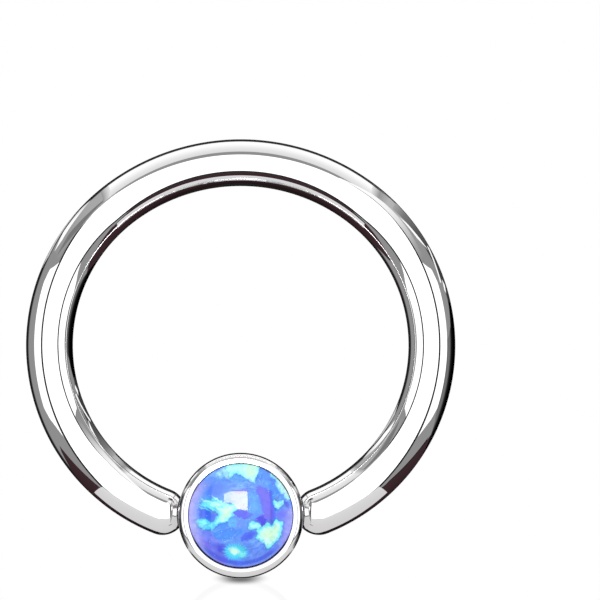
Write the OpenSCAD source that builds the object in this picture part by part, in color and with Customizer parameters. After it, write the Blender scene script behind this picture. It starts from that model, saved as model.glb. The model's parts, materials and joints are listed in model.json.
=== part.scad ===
// Captive bead ring: a round steel wire hoop whose two ball noses hold a
// steel cup bead with a domed opal. The bead turns on the noses about X.
// The wire is sprung open by the bead, so the hoop is a little wider than it
// is high: its back is an arc of a larger radius than its two sides.
// The ring lies flat: the cup's back and the far wire touch Z = 0.

/* [Hoop] */
// Diameter of the round wire (14 gauge)
wire_d = 1.63; // [1.4:0.01:1.7]
// Radius of the wire's centreline round each side
side_r = 6.22; // [5.4:0.02:8]
// How much larger the radius is round the back, where the wire gives
back_spread = 0.72; // [0.2:0.04:1]

/* [Bead] */
// Diameter of the steel cup
bead_d = 4.36; // [4.32:0.02:5]
// Height of the cup, from its flat back to its rim
bead_h = 2.4; // [2.3:0.05:3]
// Height of the turning axis above the flat back
axis_h = 1.2; // [1.1:0.05:1.3]
// Distance of the turning axis from the cup's middle, towards the hoop
axis_shift = 0.14; // [0:0.02:0.2]
// Height of the sloped collar between the cup's side and its rim
collar_h = 0.2; // [0.1:0.05:0.5]
// Width that the collar draws in on its way up to the rim
collar_w = 0.13; // [0.06:0.01:0.2]
// Rise of the rim from the collar to its inner edge
rim_rise = 0.05; // [0:0.01:0.1]
// Radius of the rounded edge round the flat back
back_round = 0.12; // [0.05:0.01:0.2]

/* [Noses] */
// How far each nose reaches into the cup's side
nose_depth = 0.275; // [0.2:0.005:0.28]
// Running clearance between a nose and its dimple
nose_gap = 0.03; // [0.01:0.01:0.05]

/* [Opal] */
// Diameter of the opal
opal_d = 3.62; // [3.4:0.02:3.66]
// Height of the opal's straight side
opal_side = 0.8; // [0.5:0.05:0.85]
// Height of the dome above the straight side
dome_h = 0.55; // [0.3:0.05:0.8]
// Gap round and below the opal in its seat
seat_gap = 0.02; // [0.01:0.01:0.04]
// Depth of the dome's edge below the rim
dome_drop = 0.04; // [0:0.01:0.08]

/* [Hidden] */
$fn = 96;
steel = [0.84, 0.85, 0.87];
opal_blue = [0.36, 0.56, 0.96];

wire_r = wire_d / 2;
bead_r = bead_d / 2;

// The back arc meets each side arc in tangent, on the line through both their centres.
// That line slopes by 3 across to 4 up, so it is 5 long where it is 3 across.
meet_across = 3 / 5;
meet_up = 4 / 5;
side_x = meet_across * back_spread;
back_y = -meet_up * back_spread;
back_r = side_r + back_spread;
meet_reach = 20;

// Each nose is a half ball whose centre lies on a side arc
nose_x = bead_r - nose_depth + wire_r;
nose_turn = asin((nose_x - side_x) / side_r);
bead_reach = side_r * cos(nose_turn);

// Heights in the cup's own frame, whose origin is on its middle line at the height of the turning axis
rim_z = bead_h - axis_h;
rim_r = bead_r - collar_w;
collar_top_z = rim_z - rim_rise;
collar_z = collar_top_z - collar_h;
opal_r = opal_d / 2;
seat_r = opal_r + seat_gap;
dome_z = rim_z - dome_drop;
opal_z = dome_z - opal_side;
seat_z = opal_z - seat_gap;
dome_r = (opal_r * opal_r + dome_h * dome_h) / (2 * dome_h);

// At rest the hoop leans from the turning axis down to the far wire
far_reach = bead_reach + back_y + back_r;
hoop_lean = asin((axis_h - wire_r) / far_reach);

// The turning axis is placed so that the whole ring is centred on Y = 0
near_y = axis_shift + bead_r;
far_y = far_reach * cos(hoop_lean) + wire_r;
axis_y = (near_y - far_y) / 2;

module rest_hoop() {
    translate([0, axis_y + bead_reach * cos(hoop_lean), axis_h - bead_reach * sin(hoop_lean)])
        rotate([-hoop_lean, 0, 0])
            children();
}

module rest_bead() {
    translate([0, axis_y - axis_shift, axis_h])
        children();
}

// Half a turn of wire about Z, from +X round to -X
module wire_arc(r) {
    rotate_extrude(angle = 180)
        translate([r, 0])
            circle(r = wire_r);
}

module nose() {
    rotate_extrude()
        intersection() {
            circle(r = wire_r);
            square(wire_r);
        }
}

// The side arc with its nose, as far as the line on which it meets the back arc
module side_wire() {
    intersection() {
        translate([side_x, 0, 0])
            rotate([0, 0, nose_turn - 90])
                union() {
                    wire_arc(side_r);
                    translate([side_r, 0, 0])
                        rotate([90, 0, 0])
                            nose();
                }
        linear_extrude(height = 2 * wire_d, center = true)
            polygon([
                [side_x + meet_across * meet_reach, meet_up * meet_reach],
                [side_x - meet_across * meet_reach, -meet_up * meet_reach],
                [side_x + meet_across * meet_reach, -meet_up * meet_reach]
            ]);
    }
}

// Half of the back arc, from the same line to the hoop's middle plane
module back_wire() {
    intersection() {
        translate([0, back_y, 0])
            wire_arc(back_r);
        linear_extrude(height = 2 * wire_d, center = true)
            polygon([
                [0, back_y],
                [side_x + meet_across * meet_reach, meet_up * meet_reach],
                [0, meet_up * meet_reach]
            ]);
    }
}

module half_wire() {
    union() {
        side_wire();
        back_wire();
    }
}

module hoop() {
    color(steel)
        rest_hoop()
            union() {
                half_wire();
                mirror([1, 0, 0])
                    half_wire();
            }
}

// Half of the cup's outline: a rounded back edge, a straight side, the collar and the rim
module cup_section() {
    translate([0, back_round - axis_h])
        square([bead_r, collar_z - back_round + axis_h]);
    translate([0, -axis_h])
        square([bead_r - back_round, back_round]);
    translate([bead_r - back_round, back_round - axis_h])
        circle(r = back_round);
    polygon([[0, collar_z], [bead_r, collar_z], [rim_r, collar_top_z], [seat_r, rim_z], [0, rim_z]]);
}

module bezel_cup() {
    color(steel)
        rest_bead()
            difference() {
                rotate_extrude()
                    cup_section();
                translate([0, 0, seat_z])
                    cylinder(r = seat_r, h = bead_h);
                for (side = [-1, 1])
                    translate([side * nose_x, axis_shift, 0])
                        sphere(r = wire_r + nose_gap);
            }
}

module opal_section() {
    translate([0, opal_z])
        square([opal_r, opal_side]);
    intersection() {
        translate([0, dome_z])
            square([opal_r, dome_h]);
        translate([0, dome_z + dome_h - dome_r])
            circle(r = dome_r);
    }
}

module opal() {
    color(opal_blue)
        rest_bead()
            rotate_extrude()
                opal_section();
}

hoop();
bezel_cup();
opal();
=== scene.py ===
"""Looks of the captive bead ring: polished steel hoop, bezel cup and opal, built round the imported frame."""

import json
import random
from math import acos, asin, atan2, cos, hypot, pi, radians, sin, tan

import bmesh
import bpy
import numpy as np
from mathutils import Matrix, Vector, noise


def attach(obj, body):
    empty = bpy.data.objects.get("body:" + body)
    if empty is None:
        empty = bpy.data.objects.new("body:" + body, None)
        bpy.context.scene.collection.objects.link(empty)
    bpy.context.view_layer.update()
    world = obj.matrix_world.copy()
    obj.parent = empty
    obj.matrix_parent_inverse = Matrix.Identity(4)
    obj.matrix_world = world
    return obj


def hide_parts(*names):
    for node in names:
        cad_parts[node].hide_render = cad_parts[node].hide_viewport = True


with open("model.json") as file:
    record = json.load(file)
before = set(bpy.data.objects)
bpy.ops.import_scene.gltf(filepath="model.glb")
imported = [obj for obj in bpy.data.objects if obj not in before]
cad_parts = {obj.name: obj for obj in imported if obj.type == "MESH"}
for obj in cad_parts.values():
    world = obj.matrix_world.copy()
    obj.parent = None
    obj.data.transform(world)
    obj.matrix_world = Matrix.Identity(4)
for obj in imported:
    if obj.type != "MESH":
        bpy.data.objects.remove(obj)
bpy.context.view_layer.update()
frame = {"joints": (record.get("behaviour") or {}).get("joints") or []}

MM = 0.001

# The hoop's real sizes in millimetres, the same as the solids have
WIRE_R = 0.815
SIDE_R = 6.22
BACK_SPREAD = 0.72

# The steel cup's sizes
BEAD_R = 2.18
BEAD_H = 2.4
AXIS_H = 1.2
AXIS_SHIFT = 0.14
COLLAR_H = 0.2
COLLAR_W = 0.13
RIM_RISE = 0.05
NOSE_DEPTH = 0.275
NOSE_GAP = 0.03

# The opal's sizes
OPAL_R = 1.81
OPAL_SIDE = 0.8
DOME_H = 0.55
DOME_DROP = 0.04
SEAT_GAP = 0.02

# Roundings of the cup's edges and of the opal's lower edge, from the cup's back to its seat
BACK_ROUND = 0.12
COLLAR_FOOT_ROUND = 0.36
COLLAR_TOP_ROUND = 0.24
LIP_ROUND = 0.012
SEAT_ROUND = 0.03
OPAL_ROUND = 0.05

# How far out the painted dark line of shade round the stone reaches on the cup's lip
LIP_R = 1.866

# Heights and radii in the bead's own frame: its origin is on its middle line, as high as the turning axis
RIM_Z = BEAD_H - AXIS_H
RIM_R = BEAD_R - COLLAR_W
COLLAR_TOP_Z = RIM_Z - RIM_RISE
COLLAR_Z = COLLAR_TOP_Z - COLLAR_H
SEAT_R = OPAL_R + SEAT_GAP
DOME_Z = RIM_Z - DOME_DROP
OPAL_Z = DOME_Z - OPAL_SIDE
SEAT_Z = OPAL_Z - SEAT_GAP
DOME_R = (OPAL_R ** 2 + DOME_H ** 2) / (2 * DOME_H)
NOSE_X = BEAD_R - NOSE_DEPTH + WIRE_R

# The hoop's back arc meets each side arc in tangent, on a line that slopes by 3 across to 4 up
SIDE_X = BACK_SPREAD * 3 / 5
BACK_Y = -BACK_SPREAD * 4 / 5
BACK_R = SIDE_R + BACK_SPREAD

# Angles on the hoop, from +X: where each side arc starts at its nose, and where it meets the back arc
NOSE_AT = -acos((NOSE_X - SIDE_X) / SIDE_R)
MEET_AT = atan2(4, 3)

# Places worked out from the frame: the turning axis, and the lean of the hoop from it down to the floor
AXIS = Vector(frame["joints"][0]["pos_m"]) / MM
BEAD_REACH = -SIDE_R * sin(NOSE_AT)
HOOP_LEAN = asin((AXIS.z - WIRE_R) / (BEAD_REACH + BACK_Y + BACK_R))
HOOP_CENTRE = AXIS + Vector((0, BEAD_REACH * cos(HOOP_LEAN), -BEAD_REACH * sin(HOOP_LEAN)))
REST_HOOP = Matrix.Translation(HOOP_CENTRE) @ Matrix.Rotation(-HOOP_LEAN, 4, "X")
BEAD_MIDDLE = AXIS - Vector((0, AXIS_SHIFT, 0))
REST_BEAD = Matrix.Translation(BEAD_MIDDLE)

# The camera looks straight down on the stone, and the picture's up is +Y
TO_CAMERA = Vector((0, 0, 1))
IMAGE_UP = Vector((0, 1, 0))
IMAGE_RIGHT = Vector((1, 0, 0))
CAMERA_DISTANCE = 500.0
PX_PER_MM = 28.76
FRAME_PX = 600
BEAD_PX = (240.7, 515.6)


def aim_camera():
    """Puts the camera above the bead, turned a little so that the bead lands at its place in the photo."""
    data = bpy.data.cameras.new("camera")
    camera = bpy.data.objects.new("camera", data)
    bpy.context.scene.collection.objects.link(camera)
    data.sensor_width = 36
    data.lens = data.sensor_width * CAMERA_DISTANCE * PX_PER_MM / FRAME_PX
    data.clip_start = 0.01
    data.clip_end = 5
    aside = (FRAME_PX / 2 - BEAD_PX[0]) / PX_PER_MM
    above = (BEAD_PX[1] - FRAME_PX / 2) / PX_PER_MM
    place = BEAD_MIDDLE + TO_CAMERA * CAMERA_DISTANCE
    back = (place - BEAD_MIDDLE - IMAGE_RIGHT * aside - IMAGE_UP * above).normalized()
    right = IMAGE_UP.cross(back).normalized()
    turn = Matrix((right, back.cross(right), back)).transposed()
    camera.matrix_world = Matrix.Translation(place * MM) @ turn.to_4x4()
    bpy.context.scene.camera = camera


def mesh_object(name, points, faces, uvs=None):
    """A smooth mesh from points in millimetres. uvs gives one pair for each point."""
    mesh = bpy.data.meshes.new(name)
    mesh.from_pydata([p * MM for p in points], [], faces)
    if uvs:
        layer = mesh.uv_layers.new(name="UVMap")
        for loop in mesh.loops:
            layer.data[loop.index].uv = uvs[loop.vertex_index]
    mesh.polygons.foreach_set("use_smooth", [True] * len(mesh.polygons))
    mesh.validate()
    obj = bpy.data.objects.new(name, mesh)
    bpy.context.scene.collection.objects.link(obj)
    return obj


def spots_in_bead(obj):
    """The places of a mesh's points in the bead's own frame, in millimetres: all x, all y and all z."""
    spots = np.empty(len(obj.data.vertices) * 3)
    obj.data.vertices.foreach_get("co", spots)
    return (spots.reshape(-1, 3) / MM - np.array(BEAD_MIDDLE)).T


def give_values(obj, name, values):
    """Keeps one number for each point of a mesh, for its material to read."""
    obj.data.attributes.new(name, "FLOAT", "POINT").data.foreach_set("value", values)


def wire_path(side_steps, back_steps):
    """Spots along the wire's middle, nose to nose: place, way out from the arc's centre, length so far."""
    arcs = [(SIDE_X, 0, SIDE_R, NOSE_AT, MEET_AT, side_steps),
            (0, BACK_Y, BACK_R, MEET_AT, pi - MEET_AT, back_steps),
            (-SIDE_X, 0, SIDE_R, pi - MEET_AT, pi - NOSE_AT, side_steps)]
    spots, length = [], 0.0
    for x, y, radius, first, last, steps in arcs:
        for k in range(1 if spots else 0, steps + 1):
            at = first + (last - first) * k / steps
            out = Vector((cos(at), sin(at), 0))
            spots.append((Vector((x, y, 0)) + out * radius, out, length + (at - first) * radius))
        length += (last - first) * radius
    return spots


def tube_mesh(name, place):
    """The hoop's wire: one skin from the tip of one ball nose round to the tip of the other."""
    around, nose_steps = 96, 20
    path = wire_path(side_steps=240, back_steps=160)
    up = Vector((0, 0, 1))
    points, uvs, faces = [], [], []

    def ring(spot, ahead, radius):
        middle, out, length = spot
        middle = middle + up.cross(out) * ahead
        for k in range(around):
            turn = 2 * pi * k / around
            points.append(place @ (middle + (out * cos(turn) + up * sin(turn)) * radius))
            uvs.append((length + ahead, WIRE_R * turn))

    for k in range(1, nose_steps):
        tip = pi / 2 * (1 - k / nose_steps)
        ring(path[0], -sin(tip) * WIRE_R, cos(tip) * WIRE_R)
    for spot in path:
        ring(spot, 0.0, WIRE_R)
    for k in range(1, nose_steps):
        tip = pi / 2 * k / nose_steps
        ring(path[-1], sin(tip) * WIRE_R, cos(tip) * WIRE_R)
    rings = len(points) // around
    for i in range(rings - 1):
        for k in range(around):
            j = (k + 1) % around
            faces.append((i * around + k, i * around + j, (i + 1) * around + j, (i + 1) * around + k))
    for spot, ahead, first in ((path[0], -WIRE_R, 0), (path[-1], WIRE_R, (rings - 1) * around)):
        middle, out, length = spot
        tip = len(points)
        points.append(place @ (middle + up.cross(out) * ahead))
        uvs.append((length + ahead, 0.0))
        for k in range(around):
            j = (k + 1) % around
            faces.append((first + j, first + k, tip) if first == 0 else (first + k, first + j, tip))
    return mesh_object(name, points, faces, uvs)


def rounded(corners, steps=16, support=0.04):
    """An outline of (radius, height) points through corners of (radius, height, rounding)."""
    path = []
    for i, (r, z, rounding) in enumerate(corners):
        here = Vector((r, z))
        if rounding == 0:
            path.append(here)
            continue
        before = (Vector(corners[i - 1][:2]) - here).normalized()
        after = (Vector(corners[i + 1][:2]) - here).normalized()
        half = before.angle(after) / 2
        reach = rounding / tan(half)
        middle = here + (before + after).normalized() * (rounding / sin(half))
        start, end = here + before * reach, here + after * reach
        path.append(start + before * reach * support)
        a, b = start - middle, end - middle
        sweep = a.angle(b)
        for k in range(steps + 1):
            t = k / steps
            path.append(middle + (a * sin((1 - t) * sweep) + b * sin(t * sweep)) / sin(sweep))
        path.append(end + after * reach * support)
    return path


def between_rings(a, b, n, m):
    """The faces between a ring of n points from a on and one of m points from b on.

    n and m are equal, or one is twice the other.
    """
    faces = []
    for k in range(min(n, m)):
        j = (k + 1) % min(n, m)
        if n == m:
            faces.append((a + k, a + j, b + j, b + k))
        elif m > n:
            half = b + 2 * k + 1
            faces += [(a + k, half, b + 2 * k), (a + k, a + j, half), (a + j, b + 2 * j, half)]
        else:
            half = a + 2 * k + 1
            faces += [(a + 2 * k, half, b + k), (half, b + j, b + k), (half, a + 2 * j, b + j)]
    return faces


def lathe_mesh(name, path, place, counts=None, around=288):
    """Turns an outline that starts and ends on the axis about Z.

    counts gives the points round each spot of the outline but its two ends. Two counts side by side are
    equal, or one is twice the other. The uvs are the turn and the length along the outline.
    """
    counts = counts or [around] * (len(path) - 2)
    points, uvs, starts = [place @ Vector((0, 0, path[0].y))], [(0.0, 0.0)], []
    length = 0.0
    for i, count in enumerate(counts, 1):
        length += (path[i] - path[i - 1]).length
        starts.append(len(points))
        for k in range(count):
            turn = 2 * pi * k / count
            points.append(place @ Vector((path[i].x * cos(turn), path[i].x * sin(turn), path[i].y)))
            uvs.append((turn * BEAD_R, length))
    last = len(points)
    points.append(place @ Vector((0, 0, path[-1].y)))
    uvs.append((0.0, length))
    faces = [(0, starts[0] + (k + 1) % counts[0], starts[0] + k) for k in range(counts[0])]
    faces += [(starts[-1] + k, starts[-1] + (k + 1) % counts[-1], last) for k in range(counts[-1])]
    for rings in zip(starts, starts[1:], counts, counts[1:]):
        faces += between_rings(*rings)
    return mesh_object(name, points, faces, uvs)


def ball_mesh(name, centre, radius):
    """A plain ball, used only to cut a dimple."""
    mesh = bpy.data.meshes.new(name)
    made = bmesh.new()
    bmesh.ops.create_uvsphere(made, u_segments=96, v_segments=64, radius=radius * MM)
    made.to_mesh(mesh)
    made.free()
    ball = bpy.data.objects.new(name, mesh)
    ball.location = centre * MM
    ball.rotation_euler = (0, pi / 2, 0)
    bpy.context.scene.collection.objects.link(ball)
    return ball


def cut(obj, tools, sharp=radians(30)):
    """Takes the tools out of obj for good and removes them. Edges that turn by more than sharp stay so."""
    for tool in tools:
        modifier = obj.modifiers.new("cut", "BOOLEAN")
        modifier.object = tool
        modifier.solver = "EXACT"
    bpy.context.view_layer.update()
    shape = bpy.data.meshes.new_from_object(obj.evaluated_get(bpy.context.evaluated_depsgraph_get()))
    obj.modifiers.clear()
    obj.data = shape
    shape.polygons.foreach_set("use_smooth", [True] * len(shape.polygons))
    shape.set_sharp_from_angle(angle=sharp)
    for tool in tools:
        bpy.data.objects.remove(tool)


def ramp(value, first, last):
    """Rises smoothly from 0 at first to 1 at last."""
    share = np.clip((value - first) / (last - first), 0, 1)
    return share * share * (3 - 2 * share)


def painted_edge_shade(y):
    """How strong the painted dark line of shade round the stone is at a height in radii: full below, weak
    above.
    """
    return 0.4 * ramp(y, 0.3, 0.5) + ramp(-y, 0.3, 0.6)


def cup_painted_shade(x, y, z):
    """How dark the cup's steel is painted at each spot: a painted dark reflection on the collar beside the
    wire's ends, and a painted dark line of shade on the lip.
    """
    # The wire's ends lie a little above the bead's middle. The angles are degrees round from them.
    ends_y, above, below, fade = 0.05, 17, 27, 8
    out = np.hypot(x, y)
    turn = np.degrees(np.arctan2(np.abs(y - ends_y), np.abs(x)))
    reach = np.where(y > 0, above, below)
    beside = 1 - ramp(turn, reach, reach + fade)
    # Painted dark reflection on the collar beside the wire's ends
    on_collar = ramp(out, RIM_R + 0.01, RIM_R + 0.05) * ramp(z, COLLAR_Z - 0.09, COLLAR_Z - 0.02)
    # Painted dark line of shade on the lip round the stone
    on_lip = (1 - ramp(out, LIP_R - 0.02, LIP_R - 0.01)) * ramp(z, COLLAR_TOP_Z - 0.05, COLLAR_TOP_Z)
    return np.maximum(painted_edge_shade(y / OPAL_R) * on_lip, beside * on_collar)


def build_hoop():
    """The steel wire with its two noses."""
    hoop = tube_mesh("hoop_wire", REST_HOOP)
    hoop.data.materials.append(steel("wire_steel"))
    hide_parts("hoop")
    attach(hoop, "hoop")


def build_cup():
    """The steel cup, with a ring of points on its sloped rim where the painted dark line of shade round the
    stone ends.
    """
    outline = rounded([
        (0, -AXIS_H, 0),
        (BEAD_R, -AXIS_H, BACK_ROUND),
        (BEAD_R, COLLAR_Z, COLLAR_FOOT_ROUND),
        (RIM_R, COLLAR_TOP_Z, COLLAR_TOP_ROUND),
        (LIP_R, RIM_Z - RIM_RISE * (LIP_R - SEAT_R) / (RIM_R - SEAT_R), 0),
        (SEAT_R, RIM_Z, LIP_ROUND),
        (SEAT_R, SEAT_Z, SEAT_ROUND),
        (0, SEAT_Z, 0),
    ])
    cup = lathe_mesh("bead_cup", outline, REST_BEAD)
    noses = [AXIS + Vector((side * NOSE_X, 0, 0)) for side in (-1, 1)]
    cut(cup, [ball_mesh("dimple", nose, WIRE_R + NOSE_GAP) for nose in noses])
    # The cup's painted dark reflection beside the wire's ends and painted line of shade round the stone
    give_values(cup, "painted_shade", cup_painted_shade(*spots_in_bead(cup)))
    cup.data.materials.append(steel("cup_steel"))
    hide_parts("bezel_cup")
    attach(cup, "bead")


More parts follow.
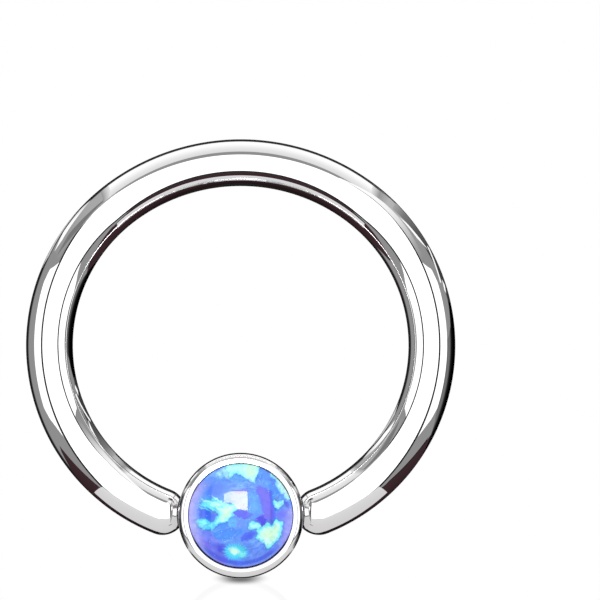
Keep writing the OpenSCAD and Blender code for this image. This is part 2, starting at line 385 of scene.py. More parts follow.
# The stone's flakes, from below to above: the colour at the edge, the colour further in,
# how soft the edge is, and the corners in radii of the stone
FLAKES = {
    "pale_low_left": ((118, 136, 248), (128, 144, 250), 0.12, [
        (-0.89, -0.28), (-0.58, -0.30), (-0.46, -0.41), (-0.37, -0.51), (-0.48, -0.59), (-0.63, -0.55),
        (-0.80, -0.43)]),
    "violet_low_left": ((104, 118, 242), (106, 122, 243), 0.12, [
        (-0.81, -0.43), (-0.47, -0.53), (-0.30, -0.56), (-0.30, -0.70), (-0.25, -0.83), (-0.30, -0.89),
        (-0.52, -0.79), (-0.73, -0.61)]),
    "azure_low": ((74, 138, 250), (76, 146, 252), 0.05, [
        (-0.55, -0.28), (-0.47, -0.21), (-0.36, -0.13), (-0.25, -0.11), (-0.21, -0.22), (-0.12, -0.26),
        (0.01, -0.25), (0.10, -0.29), (-0.04, -0.37), (-0.15, -0.43), (-0.32, -0.48), (-0.43, -0.46),
        (-0.53, -0.39)]),
    "pale_low_right": ((104, 146, 250), (112, 152, 250), 0.12, [
        (0.16, -0.63), (0.35, -0.49), (0.50, -0.65), (0.71, -0.56), (0.73, -0.64), (0.57, -0.80),
        (0.30, -0.89), (0.13, -0.84)]),
    "periwinkle_right": ((118, 140, 250), (124, 142, 250), 0.10, [
        (0.72, 0.02), (0.84, 0.10), (0.96, 0.10), (0.97, -0.20), (0.88, -0.45), (0.78, -0.55),
        (0.80, -0.30), (0.84, -0.10), (0.74, -0.08)]),
    "violet_right": ((108, 122, 248), (112, 124, 248), 0.06, [
        (0.70, 0.06), (0.80, 0.14), (0.90, 0.08), (0.86, -0.04), (0.74, -0.06), (0.66, 0.0)]),
    "deep_right_edge": ((80, 104, 238), (76, 96, 234), 0.03, [
        (0.84, 0.27), (0.91, 0.28), (0.93, 0.15), (0.94, 0.05), (0.90, 0.13), (0.84, 0.19)]),
    "deep_left": ((84, 130, 246), (78, 112, 242), 0.05, [
        (-0.81, 0.25), (-0.73, 0.21), (-0.63, 0.13), (-0.50, 0.07), (-0.44, 0.03), (-0.48, -0.04),
        (-0.52, -0.10), (-0.63, -0.09), (-0.70, -0.06), (-0.81, -0.04), (-0.82, 0.10)]),
    "azure_up_left": ((92, 142, 250), (94, 134, 250), 0.10, [
        (-0.70, 0.40), (-0.62, 0.56), (-0.50, 0.66), (-0.36, 0.62), (-0.26, 0.52), (-0.32, 0.42),
        (-0.45, 0.36), (-0.60, 0.36)]),
    "cyan_up_left": ((88, 168, 250), (96, 184, 250), 0.05, [
        (-0.79, 0.38), (-0.69, 0.33), (-0.63, 0.36), (-0.50, 0.33), (-0.36, 0.29), (-0.38, 0.20),
        (-0.55, 0.13), (-0.67, 0.17), (-0.75, 0.23)]),
    "blue_top": ((96, 158, 251), (104, 170, 251), 0.04, [
        (-0.20, 0.70), (-0.13, 0.80), (-0.06, 0.81), (0.0, 0.78), (0.07, 0.71), (0.20, 0.65),
        (0.05, 0.58), (-0.12, 0.60)]),
    "violet_top": ((104, 124, 244), (106, 128, 244), 0.04, [
        (-0.22, 0.47), (-0.08, 0.52), (0.12, 0.53), (0.26, 0.48), (0.12, 0.45), (-0.05, 0.44)]),
    "pale_top_left": ((132, 206, 250), (174, 234, 252), 0.03, [
        (-0.49, 0.76), (-0.46, 0.84), (-0.40, 0.90), (-0.31, 0.94), (-0.20, 1.00), (-0.08, 1.02),
        (-0.12, 0.83), (-0.14, 0.75), (-0.21, 0.69), (-0.26, 0.70), (-0.31, 0.78), (-0.35, 0.72),
        (-0.40, 0.70), (-0.45, 0.74)]),
    "mint_top": ((138, 240, 250), (190, 252, 246), 0.02, [
        (-0.29, 0.96), (-0.15, 1.01), (0.01, 1.03), (0.15, 1.03), (0.29, 1.01), (0.36, 0.97),
        (0.34, 0.85), (0.31, 0.74), (0.27, 0.63), (0.21, 0.67), (0.12, 0.70), (0.05, 0.74), (0.0, 0.79),
        (-0.06, 0.82), (-0.12, 0.81), (-0.16, 0.74), (-0.20, 0.72), (-0.22, 0.79), (-0.26, 0.88)]),
    "mint_top_core": ((186, 252, 246), (206, 254, 226), 0.04, [
        (0.04, 0.94), (0.14, 0.98), (0.28, 0.98), (0.33, 0.92), (0.30, 0.76), (0.26, 0.67), (0.14, 0.72),
        (0.06, 0.78), (0.02, 0.86)]),
    "pale_right_top": ((146, 224, 250), (204, 252, 248), 0.03, [
        (0.53, 0.86), (0.69, 0.79), (0.84, 0.63), (0.95, 0.44), (0.96, 0.35), (0.90, 0.30), (0.84, 0.36),
        (0.77, 0.42), (0.71, 0.50), (0.68, 0.57), (0.66, 0.66), (0.61, 0.74), (0.55, 0.80)]),
    "dotted_right": ((96, 146, 246), (104, 160, 247), 0.03, [
        (0.62, 0.44), (0.70, 0.46), (0.75, 0.42), (0.83, 0.38), (0.84, 0.30), (0.74, 0.27),
        (0.62, 0.31)]),
    "heart": ((110, 222, 250), (190, 252, 228), 0.02, [
        (0.62, 0.29), (0.66, 0.31), (0.71, 0.27), (0.74, 0.27), (0.78, 0.30), (0.83, 0.29), (0.83, 0.22),
        (0.77, 0.15), (0.70, 0.10), (0.66, 0.15), (0.65, 0.22)]),
    "violet_streak": ((100, 120, 246), (120, 116, 243), 0.05, [
        (0.27, 0.56), (0.37, 0.59), (0.47, 0.54), (0.58, 0.47), (0.61, 0.33), (0.64, 0.22), (0.66, 0.08),
        (0.66, -0.03), (0.61, -0.17), (0.51, -0.11), (0.42, -0.22), (0.38, -0.12), (0.27, -0.07),
        (0.38, 0.0), (0.41, 0.03), (0.41, 0.13), (0.38, 0.24), (0.34, 0.35), (0.29, 0.44)]),
    "light_band": ((90, 154, 251), (98, 168, 251), 0.04, [
        (0.16, 0.48), (0.27, 0.50), (0.32, 0.38), (0.37, 0.27), (0.40, 0.16), (0.38, 0.05), (0.27, 0.01),
        (0.15, 0.08)]),
    "deep_right": ((84, 84, 238), (76, 72, 232), 0.03, [
        (0.27, -0.06), (0.36, 0.0), (0.44, -0.01), (0.50, -0.07), (0.47, -0.17), (0.41, -0.23),
        (0.38, -0.15), (0.29, -0.10)]),
    "light_middle": ((92, 170, 250), (106, 194, 251), 0.03, [
        (-0.25, -0.11), (-0.20, -0.05), (-0.09, -0.07), (-0.06, -0.13), (-0.07, -0.20), (-0.12, -0.24),
        (-0.20, -0.21), (-0.24, -0.18)]),
    "deep_low": ((80, 112, 245), (70, 96, 243), 0.04, [
        (-0.02, -0.42), (0.08, -0.35), (0.19, -0.29), (0.29, -0.31), (0.30, -0.36), (0.21, -0.43),
        (0.11, -0.50), (0.02, -0.50)]),
    "dark_low_left": ((98, 102, 238), (92, 88, 232), 0.06, [
        (-0.79, -0.42), (-0.71, -0.46), (-0.62, -0.54), (-0.55, -0.61), (-0.59, -0.66), (-0.67, -0.62),
        (-0.76, -0.53)]),
    "dark_low": ((92, 102, 238), (84, 88, 232), 0.07, [
        (-0.45, -0.56), (-0.37, -0.54), (-0.31, -0.57), (-0.33, -0.67), (-0.40, -0.71), (-0.45, -0.64)]),
    "violet_bottom": ((118, 108, 238), (122, 108, 236), 0.10, [
        (-0.56, -0.78), (-0.44, -0.80), (-0.30, -0.86), (-0.28, -0.94), (-0.42, -0.90)]),
    "mint_left": ((90, 206, 250), (136, 246, 248), 0.02, [
        (-0.68, 0.30), (-0.60, 0.31), (-0.50, 0.32), (-0.36, 0.28), (-0.32, 0.22), (-0.12, 0.22),
        (-0.03, 0.13), (-0.13, 0.05), (-0.12, 0.01), (-0.21, -0.05), (-0.25, -0.10), (-0.37, -0.13),
        (-0.48, -0.21), (-0.57, -0.29), (-0.60, -0.26), (-0.71, -0.28), (-0.80, -0.22), (-0.88, -0.09),
        (-0.81, -0.06), (-0.69, -0.07), (-0.62, -0.10), (-0.58, -0.13), (-0.52, -0.11), (-0.48, -0.04),
        (-0.43, 0.01), (-0.44, 0.07), (-0.54, 0.11), (-0.67, 0.16), (-0.75, 0.24)]),
    "mint_left_core": ((150, 247, 246), (208, 254, 220), 0.03, [
        (-0.56, 0.24), (-0.48, 0.25), (-0.34, 0.24), (-0.29, 0.20), (-0.13, 0.20), (-0.06, 0.13),
        (-0.14, 0.06), (-0.21, -0.04), (-0.28, -0.09), (-0.40, -0.11), (-0.48, -0.14), (-0.45, -0.07),
        (-0.38, 0.02), (-0.40, 0.09), (-0.48, 0.14), (-0.58, 0.18)]),
    "petals": ((90, 100, 238), (98, 108, 241), 0.02, [
        (-0.14, 0.04), (-0.07, 0.09), (0.03, 0.11), (0.11, 0.08), (0.19, 0.01), (0.15, -0.04),
        (0.06, -0.07), (-0.03, -0.04), (-0.10, 0.0)]),
    "petal_right": ((96, 118, 244), (104, 124, 246), 0.02, [
        (0.10, 0.08), (0.20, 0.05), (0.24, 0.0), (0.17, -0.04), (0.11, 0.0)]),
    "cyan_right": ((118, 228, 250), (188, 251, 246), 0.02, [
        (0.16, -0.14), (0.22, -0.10), (0.30, -0.13), (0.37, -0.17), (0.40, -0.24), (0.36, -0.29),
        (0.29, -0.26), (0.21, -0.28), (0.15, -0.24)]),
    "mint_right": ((110, 236, 250), (196, 252, 244), 0.02, [
        (0.40, -0.23), (0.46, -0.17), (0.52, -0.13), (0.59, -0.20), (0.65, -0.11), (0.69, -0.07),
        (0.73, -0.09), (0.82, -0.10), (0.80, -0.21), (0.78, -0.35), (0.73, -0.46), (0.65, -0.55),
        (0.55, -0.63), (0.51, -0.63), (0.46, -0.55), (0.37, -0.50), (0.29, -0.43), (0.33, -0.36),
        (0.30, -0.28), (0.37, -0.26)]),
    "mint_right_core": ((196, 252, 242), (212, 254, 220), 0.03, [
        (0.44, -0.28), (0.52, -0.20), (0.60, -0.24), (0.68, -0.15), (0.75, -0.16), (0.74, -0.32),
        (0.68, -0.44), (0.58, -0.52), (0.48, -0.49), (0.40, -0.42), (0.38, -0.35)]),
}

STONE_BLUE = (98, 152, 251)
# The colour of the painted dark line of shade at the stone's edge
STONE_EDGE_SHADE = (52, 58, 120)

# The soft patches below the flakes
PATCHES = 104
PATCH_SHADES = ((122, 190, 252), (84, 118, 244), (118, 150, 250), (80, 146, 252))

# Thin splinters over the flakes: how many, their two shades, the left, low, right and high of their box,
# their tilt in degrees, their shortest and longest, and how strongly they cover
SPLINTERS = [
    (26, ((132, 190, 252), (78, 112, 242)), (-0.35, 0.45, 0.30, 0.70), -4, (0.05, 0.16), 0.55),
    (26, ((136, 186, 252), (80, 120, 244)), (-0.10, -0.78, 0.42, -0.46), 32, (0.06, 0.18), 0.55),
    (16, ((124, 190, 252), (84, 112, 242)), (-0.70, -0.50, -0.10, -0.15), 24, (0.05, 0.14), 0.5),
    (12, ((110, 238, 250), (176, 252, 244)), (-0.72, 0.12, -0.30, 0.34), -20, (0.08, 0.18), 0.8),
    (26, ((110, 216, 250), (66, 100, 232)), (0.62, 0.28, 0.88, 0.50), 60, (0.015, 0.04), 0.8),
    (18, ((150, 220, 250), (66, 104, 226)), (0.33, 0.62, 0.47, 0.86), 75, (0.02, 0.05), 0.7),
    (14, ((150, 206, 252), (80, 124, 244)), (-0.52, 0.62, -0.30, 0.90), 60, (0.03, 0.08), 0.6),
]

# The star of light near the stone's lower edge: its middle, its pale heart, a glow, and how many rays
BURST = (-0.10, -0.69)
BURST_HEART = (-0.12, -0.67)
BURST_GLOW = (0.04, -0.74)
BURST_RAYS = 23

# The clear coat's sheen lightens the stone, so its colours are darker by that haze, down to a least value
COAT_HAZE = 0.05
DARKEST = 0.004

# The seeds of the noise on the flakes' edges, and of what is strewn
NOISE_SEED = 12
STREW_SEED = 11


def linear(shade):
    """The light of a screen colour from 0 to 255."""
    return np.array([((c / 255 + 0.055) / 1.055) ** 2.4 for c in shade])


def depth_in(x, y, corners):
    """How deep each spot lies inside a flake: negative outside it."""
    inside = np.zeros(len(x), bool)
    edge = np.full(len(x), 9.0)
    for (ax, ay), (bx, by) in zip(corners, corners[1:] + corners[:1]):
        dx, dy = bx - ax, by - ay
        along = np.clip(((x - ax) * dx + (y - ay) * dy) / (dx * dx + dy * dy), 0, 1)
        edge = np.minimum(edge, np.hypot(x - ax - along * dx, y - ay - along * dy))
        if dy:
            inside ^= ((ay > y) != (by > y)) & (x < ax + (y - ay) * dx / dy)
    return np.where(inside, edge, -edge)


class Paint:
    """The stone's colour at each of its points, given in its radii. Each layer covers those before it."""

    def __init__(self, x, y):
        self.x = x
        self.y = y
        self.chance = random.Random(STREW_SEED)
        noise.seed_set(NOISE_SEED)
        self.broad = self.waves(4, 0.3)
        self.jag = self.waves(13, 4.7)
        self.fine = self.waves(33, 9.1)
        self.jagged_x = x + 0.020 * self.broad[:, 0] + 0.026 * self.jag[:, 0] + 0.016 * self.fine[:, 0]
        self.jagged_y = y + 0.020 * self.broad[:, 1] + 0.026 * self.jag[:, 1] + 0.016 * self.fine[:, 1]
        self.colour = np.tile(linear(STONE_BLUE), (len(x), 1))

    def waves(self, scale, level):
        """Smooth noise: three numbers for each point."""
        spots = [Vector((x * scale, y * scale, level)) for x, y in zip(self.x, self.y)]
        return np.array([noise.noise_vector(spot) for spot in spots])

    def depth(self, corners):
        """How deep each point lies inside a shape whose edges are made jagged."""
        return depth_in(self.jagged_x, self.jagged_y, corners)

    def lay(self, share, light):
        """Covers a share of what lies below, from 0 to 1 for each point."""
        self.colour += (light - self.colour) * share[:, None]

    def patches(self):
        """Soft patches with five corners, all over the stone."""
        sides, flatness = 5, 0.7
        for k in range(PATCHES):
            across, up = self.chance.uniform(-1, 1), self.chance.uniform(-1, 1)
            turn, size = self.chance.uniform(0, pi), self.chance.uniform(0.05, 0.16)
            corners = []
            for corner in range(sides):
                at = turn + 2 * pi * (corner + self.chance.uniform(-0.3, 0.3)) / sides
                reach = size * self.chance.uniform(0.45, 1.0)
                corners.append((across + reach * cos(at), up + reach * sin(at) * flatness))
            shade = PATCH_SHADES[k % len(PATCH_SHADES)]
            self.lay(self.chance.uniform(0.25, 0.6) * ramp(self.depth(corners), -0.02, 0.02), linear(shade))

    def flakes(self):
        """The flakes. The bright ones with a crisp edge have a thin shade round them."""
        for rim, core, soft, corners in FLAKES.values():
            depth = self.depth(corners)
            bright, crisp = rim[1] > 190, soft < 0.03
            if bright and crisp:
                shade = ramp(depth, -0.035, -0.008) * (1 - ramp(depth, -0.008, 0.004))
                self.colour *= 1 - 0.25 * shade[:, None]
            inner = ramp(depth + 0.05 * self.jag[:, 2] + 0.03 * self.fine[:, 2], -0.01, 0.10)[:, None]
            self.lay(ramp(depth, -soft / 2, soft / 2), linear(rim) * (1 - inner) + linear(core) * inner)

    def splinters(self, count, shades, box, tilt, lengths, share):
        """Thin splinters of light or dark, strewn in a box."""
        left, low, right, high = box
        waver, thickness = 14, 0.09
        for k in range(count):
            middle = Vector((self.chance.uniform(left, right), self.chance.uniform(low, high)))
            turn = radians(tilt + self.chance.uniform(-waver, waver))
            reach = self.chance.uniform(*lengths)
            along = Vector((cos(turn), sin(turn))) * reach
            wide = Vector((-sin(turn), cos(turn))) * reach * thickness
            corners = [tuple(middle + way) for way in (-along, wide, along, -wide)]
            self.lay(share * ramp(self.depth(corners), -0.008, 0.006), linear(shades[k % len(shades)]))

    def burst(self):
        """The star of light: its rays, its pale heart, and a smaller glow to its right."""
        across, up = self.x - BURST[0], self.y - BURST[1]
        away = np.hypot(across * 0.68, up)
        wander = 2 * self.broad[:, 2] + 2 * self.jag[:, 2]
        rays = 0.5 + 0.5 * np.sin(np.arctan2(up, across) * BURST_RAYS + wander)
        self.lay((1 - ramp(away, 0.05 + 0.07 * rays, 0.16 + 0.04 * rays)) * 0.95, linear((84, 226, 250)))
        heart = np.hypot((self.x - BURST_HEART[0]) * 0.72, self.y - BURST_HEART[1]) + 0.04 * self.jag[:, 0]
        self.lay(1 - ramp(heart, 0.02, 0.10), linear((210, 253, 232)))
        glow = np.hypot((self.x - BURST_GLOW[0]) * 0.7, self.y - BURST_GLOW[1]) + 0.02 * self.jag[:, 1]
        self.lay(0.9 * (1 - ramp(glow, 0.0, 0.08)), linear((140, 252, 250)))

    def rim(self):
        """The dome's edge: lavender painted light at both sides, a deep and a pale band below, and the
        painted dark line of shade.
        """
        x, y = self.x, self.y
        out = np.hypot(x, y)
        # Painted light: a lavender glow along the dome's left and right edges
        left = ramp(-x, 0.10, 0.5) * ramp(y, -0.85, -0.4) * (1 - 0.85 * ramp(y, 0.5, 0.72))
        self.lay(0.85 * ramp(out, 0.76, 0.99) * left, linear((186, 180, 251)))
        right = ramp(x, 0.4, 0.8) * ramp(-y, -0.3, 0.0) * ramp(y, -0.8, -0.4)
        self.lay(0.75 * ramp(out, 0.80, 0.99) * right, linear((174, 172, 250)))
        deep = ramp(out, 0.85, 0.89) * (1 - ramp(out, 0.93, 0.96)) * ramp(-y, 0.5, 0.75)
        self.lay(0.8 * deep, linear((84, 100, 237)))
        pale = ramp(out, 0.94, 0.97) * ramp(-y, 0.2, 0.6)
        self.lay(0.5 * pale, linear((150, 150, 246)))
        # The painted dark line of shade round the stone's edge
        self.lay(ramp(out, 0.983, 0.993) * painted_edge_shade(y), linear(STONE_EDGE_SHADE))


def stone_colours(x, y):
    """The stone's colour at points given in its radii: blue with jagged mint, cyan and violet flakes."""
    paint = Paint(x, y)
    paint.patches()
    paint.flakes()
    for splinters in SPLINTERS:
        paint.splinters(*splinters)
    paint.burst()
    paint.rim()
    return np.maximum(paint.colour - COAT_HAZE, DARKEST)


def points_round(share, around):
    """How many points go round a ring of the stone: their number halves as the ring's share shrinks."""
    for least, points in ((0.5, around), (0.25, around // 2), (0.1, around // 4)):
        if share > least:
            return points
    return around // 8


def build_opal():
    """The stone: its dome has rings fine enough to carry the flakes' jagged edges."""
    around, rings, shoulder = 480, 96, 0.02
    edge = asin(OPAL_R / DOME_R)
    outline, counts = [Vector((0, OPAL_Z))], []
    for share in (0.125, 0.25, 0.5):
        outline.append(Vector((OPAL_R * share, OPAL_Z)))
        counts.append(round(around * share))
    side = rounded([(0, OPAL_Z, 0), (OPAL_R, OPAL_Z, OPAL_ROUND), (OPAL_R, DOME_Z - shoulder, 0)], steps=6)
    outline += side[1:]
    counts += [around] * len(side[1:])
    for k in range(rings + 1):
        share = 1 - k / rings
        tilt = edge * share
        outline.append(Vector((DOME_R * sin(tilt), DOME_Z + DOME_H - DOME_R + DOME_R * cos(tilt))))
        counts.append(points_round(share, around))
    stone = lathe_mesh("opal_stone", outline, REST_BEAD, counts[:-1])
    x, y = spots_in_bead(stone)[:2] / OPAL_R
    colours = np.ones((len(x), 4))
    colours[:, :3] = stone_colours(x, y)
    fire = stone.data.attributes.new("fire", "FLOAT_COLOR", "POINT")
    fire.data.foreach_set("color", colours.ravel())
    layer = stone.data.uv_layers[0]
    for loop in stone.data.loops:
        layer.data[loop.index].uv = (x[loop.vertex_index], y[loop.vertex_index])
    stone.data.materials.append(opal_finish())
    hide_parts("opal")
    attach(stone, "bead")


class Nodes:
    """A short way to write a material's or the world's node tree."""

    def __init__(self, owner):
        owner.use_nodes = True
        self.tree = owner.node_tree
        self.tree.nodes.clear()

    def add(self, kind, settings=None, **inputs):
        """A new node. An input is given by its name, with _ for a space, or as i0, i1 and so on."""
        node = self.tree.nodes.new("ShaderNode" + kind)
        for name, value in (settings or {}).items():
            setattr(node, name, value)
        for name, value in inputs.items():
            numbered = name[0] == "i" and name[1:].isdigit()
            self.put(node, int(name[1:]) if numbered else name.replace("_", " "), value)
        return node

    def put(self, node, name, value):
        """Links a node or a socket to an input, or sets its value."""
        if isinstance(value, bpy.types.Node):
            value = value.outputs[0]
        if isinstance(value, bpy.types.NodeSocket):
            self.tree.links.new(value, node.inputs[name])
        else:
            node.inputs[name].default_value = value

    def smooth(self, value, first, last, low=0.0, high=1.0, kind="SMOOTHSTEP"):
        """Goes smoothly from low at first to high at last."""
        return self.add("MapRange", {"interpolation_type": kind}, Value=value,
                        From_Min=first, From_Max=last, To_Min=low, To_Max=high)

    def math(self, operation, first, second):
        """Works out one number from two."""
        return self.add("Math", {"operation": operation}, i0=first, i1=second)


def steel(name):
    """Mirror-polished surgical steel: a faint grain, an uneven polish, and painted shade and painted dark
    reflection where a mesh has it.
    """
    material = bpy.data.materials.new(name)
    n = Nodes(material)
    place = n.add("TexCoord").outputs["UV"]
    grain = n.add("Mapping", Vector=place, Scale=(0.6, 55, 1))
    lines = n.add("TexNoise", Vector=grain, Scale=1.0, Detail=3.0, Roughness=0.6)
    cloud = n.add("TexNoise", Vector=place, Scale=1.3, Detail=4.0, Roughness=0.55)
    polish = n.smooth(cloud, 0.3, 0.75, low=0.012, high=0.035)
    bump = n.add("Bump", Height=lines, Strength=0.004, Distance=0.00001)
    painted_shade = n.add("Attribute", {"attribute_name": "painted_shade"}).outputs["Fac"]
    # The dark colour is painted shade and painted dark reflection, laid where the mesh's value asks for it
    colour = n.add("MixRGB", Fac=painted_shade, Color1=(0.93, 0.93, 0.935, 1), Color2=(0.09, 0.09, 0.10, 1))
    shader = n.add("BsdfPrincipled", Base_Color=colour, Metallic=1.0, Roughness=polish, Normal=bump)
    n.add("OutputMaterial", Surface=shader)
    return material


def opal_finish():
    """Polished blue opal: the mesh's own colours, with a fine patchwork and painted glints over them."""
    material = bpy.data.materials.new("opal")
    n = Nodes(material)
    place = n.add("TexCoord").outputs["UV"]
    fire = n.add("Attribute", {"attribute_name": "fire"}).outputs["Color"]
    cloud = n.add("TexNoise", Vector=place, Scale=13.0, Detail=5.0, Roughness=0.6)
    cells = n.add("TexVoronoi", Vector=place, Scale=7.5)
    patch = n.add("SeparateColor", Color=cells.outputs["Color"])
    cloud_share = n.add("MapRange", Value=cloud, From_Min=0.3, From_Max=0.7, To_Min=0.86, To_Max=1.12)
    patch_share = n.add("MapRange", Value=patch.outputs["Red"], To_Min=0.92, To_Max=1.08)
    share = n.math("MULTIPLY", cloud_share, patch_share)
    varied = n.add("VectorMath", {"operation": "SCALE"}, i0=fire, Scale=share)
    # Painted glints: a few small pale dots strewn over the stone
    dots = n.add("TexVoronoi", Vector=place, Scale=26.0)
    rare = n.add("SeparateColor", Color=dots.outputs["Color"])
    chosen = n.math("GREATER_THAN", rare.outputs["Green"], 0.86)
    point = n.smooth(dots.outputs["Distance"], 0.10, 0.26, low=0.5, high=0.0)
    painted_glint = n.math("MULTIPLY", chosen, point)
    colour = n.add("MixRGB", Fac=painted_glint, Color1=varied, Color2=(0.75, 0.95, 1.0, 1))
    shader = n.add("BsdfPrincipled", Base_Color=colour, Roughness=0.4, Specular_IOR_Level=0.2,
                   Coat_Weight=1.0, Coat_Roughness=0.02)
    n.add("OutputMaterial", Surface=shader)
    return material


def around_camera(turn, away):
    """The way to a spot on the studio's dome: its turn clockwise from the top, its angle to the camera."""
    flat = IMAGE_RIGHT * sin(turn) + IMAGE_UP * cos(turn)
    return TO_CAMERA * cos(away) + flat * sin(away)


def chart(right, up):
    """The same, from degrees to the right of and above the camera, as the hoop sees it."""
    return around_camera(atan2(right, up), radians(hypot(right, up)))


def fan(turn, away):
    """The same, with both angles in degrees."""
    return around_camera(radians(turn), radians(away))


def spokes(rows):
    """Rows of a fan card that each keep one turn: given as the turn, its two ends, and its brightness."""
    return [((turn, near), (turn, far), level) for turn, near, far, level in rows]


def mirror_only(obj, levels, tint):
    """Makes obj a light card that nothing but a reflection sees. levels is the brightness at each point."""
    give_values(obj, "level", levels)
    material = bpy.data.materials.new(obj.name)
    n = Nodes(material)
    level = n.add("Attribute", {"attribute_name": "level"})
    n.add("OutputMaterial", Surface=n.add("Emission", Color=(*tint, 1), Strength=level.outputs["Fac"]))
    obj.data.materials.append(material)
    obj.visible_camera = False
    obj.visible_diffuse = False
    obj.visible_shadow = False
    obj.visible_transmission = False


def card(name, rows, distance, tint=(1, 1, 1), way=chart, steps=24, between=6):
    """A card on the dome. Each row is its two ends and its brightness; the card runs from row to row."""
    points, levels = [], []
    for first, last in zip(rows, rows[1:]):
        for k in range(1 if points else 0, between + 1):
            s = k / between
            ends = [[(1 - s) * first[e][a] + s * last[e][a] for a in (0, 1)] for e in (0, 1)]
            for j in range(steps + 1):
                t = j / steps
                points.append(way(*((1 - t) * ends[0][a] + t * ends[1][a] for a in (0, 1))) * distance)
                levels.append((1 - s) * first[2] + s * last[2])
    faces = []
    for start in range(0, len(points) - steps - 1, steps + 1):
        for a in range(start, start + steps):
            faces.append((a, a + steps + 1, a + steps + 2, a + 1))
    mirror_only(mesh_object(name, points, faces), levels, tint)


def key_cards():
    """The bright box whose mirror image is the pale window on the stone, and its dimmer left part."""
    card("key_box", [
        ((-14, 26.6), (8.4, 27.2), 17.0), ((-21.3, 23.4), (8.4, 24), 17.0),
        ((-20.5, 12.6), (8.4, 12.6), 17.0), ((-10.5, 12.4), (8.4, 12.4), 18.0),
        ((-4, 5), (8.4, 5), 18.0), ((5, 3.4), (8.4, 3.4), 19.0),
    ], distance=95, tint=(1, 0.81, 0.85))
    card("key_shade", [
        ((-14, 26.6), (-11, 26.6), 13.5), ((-21.3, 23.4), (-11, 24), 13.5),
        ((-20.5, 12.6), (-11, 12.6), 12.5),
    ], distance=94)


def front_cards():
    """The large box in front, which gives the wire its broad white stripe, and its thin dark frame."""
    box = [
        ((-29, 41.5), (29, 41.5)), ((-35, 38.5), (35, 38.5)), ((-36, 30), (36, 30)),
        ((-36.5, 15), (36.5, 15)), ((-36.5, 0), (36.5, 0)), ((-36.5, -15), (36.5, -15)),
        ((-36, -30), (36, -30)), ((-36, -36), (36, -36)), ((-33, -38.5), (33, -38.5)),
    ]
    card("front_box", [(a, b, 1.4) for a, b in box], distance=110)
    frame_rows, past_box = [], 7.5
    for a, b in box[2:]:
        grow = 1 + past_box / hypot(*a)
        frame_rows.append(((a[0] * grow, a[1] * grow), (b[0] * grow, b[1] * grow), 0.02))
    card("front_frame", frame_rows, distance=145)


def window_cards():
    """A window at each side."""
    window = [((72, 34), (69, 33.5)), ((80, 31), (41.4, 24.4)), ((80, 0), (42.5, 0)),
              ((80, -23.5), (44.4, -20.7)), ((70, -24.5), (68, -24.5))]
    for side, name in ((-1, "left"), (1, "right")):
        rows = [((side * a[0], a[1]), (side * b[0], b[1]), 1.3) for a, b in window]
        card(name + "_window", rows, distance=300)


def top_cards():
    """The panel above, its darker ends, and the dark behind it."""
    levels = [(56.5, 0.72), (60, 0.78), (74, 0.85), (92, 1.0), (108, 1.1), (126, 1.05)]
    panel = [((-36.5, away), (36.5, away), level) for away, level in levels]
    card("top_panel", panel, distance=150, way=fan)
    for side in (-1, 1):
        end = spokes([(side * 36, 56.5, 125, 0.85), (side * 38.8, 56.5, 125, 0.32)])
        card("panel_end", end, distance=149, way=fan)
    card("top_back", [
        ((-90, 100), (90, 100), 0.05), ((-60, 135), (60, 135), 0.03), ((-30, 160), (30, 160), 0.02),
    ], distance=155)


def left_cards():
    """What the wire's left and upper left mirror beyond the window."""
    card("left_swoosh", [
        ((-100, 97), (-86, 95), 0.7), ((-104, 75), (-82, 75), 1.1), ((-90, 52), (-81, 55), 1.1),
    ], distance=150)
    card("left_far", [((-135, 100), (-112, 108), 0.5), ((-140, 62), (-116, 62), 0.6)], distance=152)
    card("left_shade", [((-66, 50), (-36, 52), 0.20), ((-66, 38), (-40, 36), 0.20)], distance=153)


def right_cards():
    """The glow at the upper right, and three slanting pieces of light beyond the right window."""
    card("right_glow", spokes([
        (26, 45, 48, 1.1), (31, 50.5, 58, 1.1), (36, 54, 71, 1.05), (41, 55, 78, 1.0),
        (46, 54, 80, 0.85), (50, 52, 78, 0.65), (55, 50.5, 72, 0.42), (60, 48, 64, 0.28),
    ]), distance=142, way=fan)
    for ends in (((60.5, 57.4), (73.5, 61.7), (104, 60), (75.4, 52.8)),
                 ((96, 36), (112, 68), (122, 72), (104, 38)),
                 ((112, 36), (118, 45), (130, 45), (120, 36))):
        card("right_swoosh", [(ends[0], ends[3], 1.1), (ends[1], ends[2], 1.1)], distance=138)


def haze_cards():
    """Soft grey light behind the glow and the panel's ends, and a darker wedge before it."""
    card("right_haze", spokes([
        (33, 60, 140, 0.26), (38, 60, 140, 0.30), (42, 60, 140, 0.50),
        (46, 60, 140, 0.46), (52, 60, 140, 0.34), (61, 60, 140, 0.29),
    ]), distance=156, way=fan)
    card("right_wedge", spokes([
        (44, 88, 150, 0.40), (48, 94, 150, 0.20), (54, 102, 150, 0.10),
        (62, 108, 150, 0.05), (70, 120, 150, 0.05), (76, 128, 150, 0.03),
    ]), distance=147, way=fan)
    card("left_haze", spokes([
        (-34, 50, 120, 0.42), (-44, 50, 124, 0.42), (-60, 60, 124, 0.31),
    ]), distance=156, way=fan)


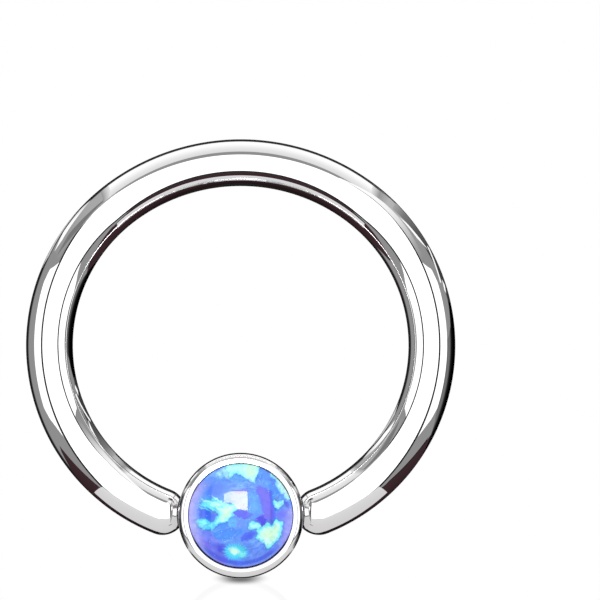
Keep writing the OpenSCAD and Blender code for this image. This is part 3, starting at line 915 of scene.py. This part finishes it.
def dark_cards():
    """The dark parts of the studio: at the right, and below, where they are faintly red."""
    card("right_dark", [
        ((81, 6), (81, -24), 0.10), ((86, 7), (87, -30), 0.17), ((95, 9), (96, -38), 0.19),
        ((108, 14), (108, -52), 0.01), ((126, 38), (126, -76), 0.0), ((160, 70), (160, -80), 0.0),
    ], distance=160)
    card("low_line", [((-38, -36), (38, -36), 0.04), ((-38, -52), (38, -52), 0.04)],
         distance=165, tint=(1, 0.7, 0.75))
    card("low_edge", [((50, -46), (96, -46), 0.01), ((50, -49), (96, -49), 0.01)], distance=168)
    card("low_dark", [
        ((-84, -46), (104, -49), 0.047), ((-92, -55), (125, -50), 0.047), ((-103, -78), (125, -75), 0.04),
        ((-105, -100), (110, -100), 0.03), ((-80, -130), (80, -130), 0.01),
    ], distance=170, tint=(1, 0.5, 0.6))


def near_sheet():
    """The light sheet just below the ring, from in front of it to behind it, with a bulge at the bead."""
    front = [(-11.1, -11.34, 7.76), (11.1, -11.34, 7.76)]
    half_back = [(8.2, -8.4, -2.0), (5.6, -8.61, -1.5), (3.4, -8.82, -1.0), (2.2, -8.57, -1.6)]
    back = half_back + [(-x, up, ahead) for x, up, ahead in reversed(half_back)]
    points = []
    for x, up, ahead in front + back:
        points.append(HOOP_CENTRE + IMAGE_RIGHT * x + IMAGE_UP * up + TO_CAMERA * ahead)
    levels = [0.78] * len(front) + [0.68] * len(back)
    mirror_only(mesh_object("near_sheet", points, [tuple(range(len(points)))]), levels, (1.0, 0.985, 0.99))


def collar_band():
    """A dark band close round the bead, which draws the thin dark line round its collar.

    It is two arcs, above and below the wire's ends, which they leave clear, and their ends are lighter.
    """
    inner, outer, height = 2.21, 2.53, 0.8
    dark, lighter = 0.004, 0.6
    steps, fade = 60, 4
    points, faces, levels = [], [], []
    for start, clear in ((0, radians(20)), (pi, radians(32))):
        for k in range(steps + 1):
            turn = start + clear + (pi - 2 * clear) * k / steps
            out = Vector((cos(turn), sin(turn), 0))
            points += [BEAD_MIDDLE + out * r + TO_CAMERA * height for r in (inner, outer)]
            levels += [dark + lighter * max(0, 1 - min(k, steps - k) / fade)] * 2
            if k:
                a = len(points) - 4
                faces.append((a, a + 1, a + 3, a + 2))
    mirror_only(mesh_object("collar_band", points, faces), levels, (1, 1, 1))


def build_studio():
    """The light cards that the steel and the stone mirror. Nearer cards hide farther ones."""
    key_cards()
    front_cards()
    window_cards()
    top_cards()
    left_cards()
    right_cards()
    haze_cards()
    dark_cards()
    near_sheet()
    collar_band()


def build_world():
    """White for the camera and for soft light. In reflections it is mid grey, and dark behind the ring."""
    world = bpy.data.worlds.new("studio")
    bpy.context.scene.world = world
    n = Nodes(world)
    path = n.add("LightPath")
    facing = n.add("VectorMath", {"operation": "DOT_PRODUCT"}, i0=n.add("TexCoord").outputs["Generated"])
    facing.inputs[1].default_value = TO_CAMERA
    behind = n.smooth(facing.outputs["Value"], cos(radians(120)), cos(radians(133)))
    grey = n.add("MixRGB", Fac=behind, Color1=(0.29, 0.29, 0.29, 1), Color2=(0.015, 0.013, 0.013, 1))
    seen = n.add("MixRGB", Fac=path.outputs["Is Glossy Ray"], Color1=(1.0, 1.0, 1.0, 1), Color2=grey)
    n.add("OutputWorld", Surface=n.add("Background", Color=seen, Strength=1.0))


def build_floor():
    """A white floor with a small painted shadow at the bead's foot, and a faint painted reflection of the
    bead's rim below it.
    """
    half = 600
    corners = [Vector((x, y, 0)) for x, y in ((-half, -half), (half, -half), (half, half), (-half, half))]
    floor = mesh_object("floor", corners, [(0, 1, 2, 3)])
    material = bpy.data.materials.new("floor")
    n = Nodes(material)
    place = n.add("TexCoord").outputs["Object"]
    foot = BEAD_MIDDLE - Vector((0, BEAD_R, 0))
    shadow_across, shadow_up, shadow_light = 1.15, 0.30, 0.22
    painted_rim_reflection = 0.05

    def away(spot, across, up):
        """The distance from a spot, in an ellipse's half widths."""
        shape = n.add("Mapping", {"vector_type": "TEXTURE"}, Vector=place,
                      Location=(spot.x * MM, spot.y * MM, 0), Scale=(across * MM, up * MM, 1))
        return n.add("VectorMath", {"operation": "LENGTH"}, i0=shape).outputs["Value"]

    core = n.smooth(away(foot, shadow_across, shadow_up), 0.1, 1.0, low=shadow_light, kind="SMOOTHERSTEP")
    # A faint painted reflection of the bead's rim: a darker band in the floor below the bead's foot
    mirrored = away(foot - Vector((0, BEAD_R - 0.02, 0)), BEAD_R, BEAD_R)
    band = n.smooth(mirrored, 0.86, 0.93, high=painted_rim_reflection)
    within = n.smooth(mirrored, 0.96, 1.0, low=1.0, high=0.0)
    level = n.math("SUBTRACT", core, n.math("MULTIPLY", band, within))
    n.add("OutputMaterial", Surface=n.add("Emission", Strength=level))
    floor.data.materials.append(material)
    floor.visible_glossy = False
    floor.visible_diffuse = False


def build_lamp():
    """A soft lamp over the far wire, which shapes the stone's dome a little."""
    data = bpy.data.lights.new("soft_lamp", "AREA")
    data.size = 120 * MM
    data.energy = 0.1
    lamp = bpy.data.objects.new("soft_lamp", data)
    lamp.location = Vector((0, 150, 160)) * MM
    lamp.rotation_euler = (-radians(43), 0, 0)
    lamp.visible_glossy = False
    lamp.visible_camera = False
    bpy.context.scene.collection.objects.link(lamp)


bpy.context.scene.view_settings.view_transform = "Standard"
aim_camera()
build_world()
build_floor()
build_studio()
build_lamp()
build_hoop()
build_cup()
build_opal()
